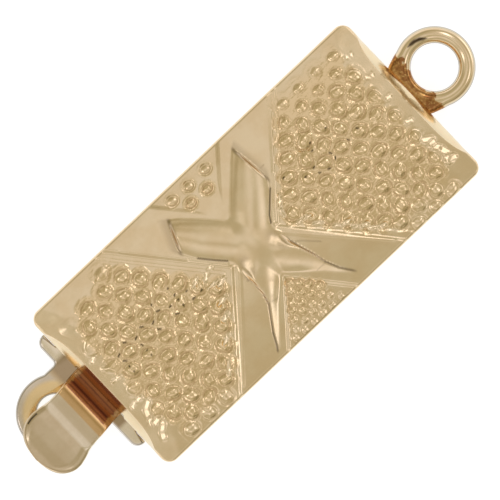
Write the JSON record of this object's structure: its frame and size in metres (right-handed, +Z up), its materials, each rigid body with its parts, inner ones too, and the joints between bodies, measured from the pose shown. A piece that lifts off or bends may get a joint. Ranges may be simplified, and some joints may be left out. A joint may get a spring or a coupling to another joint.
{
  "type": "clip clasp",
  "caption": "Rectangular clip clasp with a raised cross on a dotted cover, a sliding tongue with a spring thumb tab, and a round eyelet.",
  "frame": {"origin": "centre of the clasp's footprint, at the level of the table that it lies on", "axes": "+X along the clasp towards the soldered eyelet, +Z up out of the decorated cover"},
  "size_m": [0.0236, 0.008, 0.0027],
  "materials": {
    "cover_gold": "polished gold plate",
    "box_gold": "polished gold plate",
    "eyelet_gold": "polished gold plate",
    "tongue_gold": "polished gold plate",
    "leaf_gold": "polished gold plate"
  },
  "bodies": {
    "housing": {"cover": "cover_gold", "box": "box_gold", "eyelet": "eyelet_gold"},
    "tongue": {"tongue_plate": "tongue_gold"},
    "lever": {"spring_leaf": "leaf_gold"}
  },
  "joints": [
    {"name": "tongue_slide", "type": "slide", "parent": "housing", "child": "tongue", "axis": [-1, 0, 0], "range_m": [0, 0.0135], "deforming": ["spring_leaf"]},
    {"name": "tab_press", "type": "hinge", "parent": "tongue", "child": "lever", "pos_m": [0.00454, 0, 0.00081], "axis": [0, -1, 0], "range_deg": [0, 2.2], "stiffness_Nm_per_rad": 0.05}
  ]
}
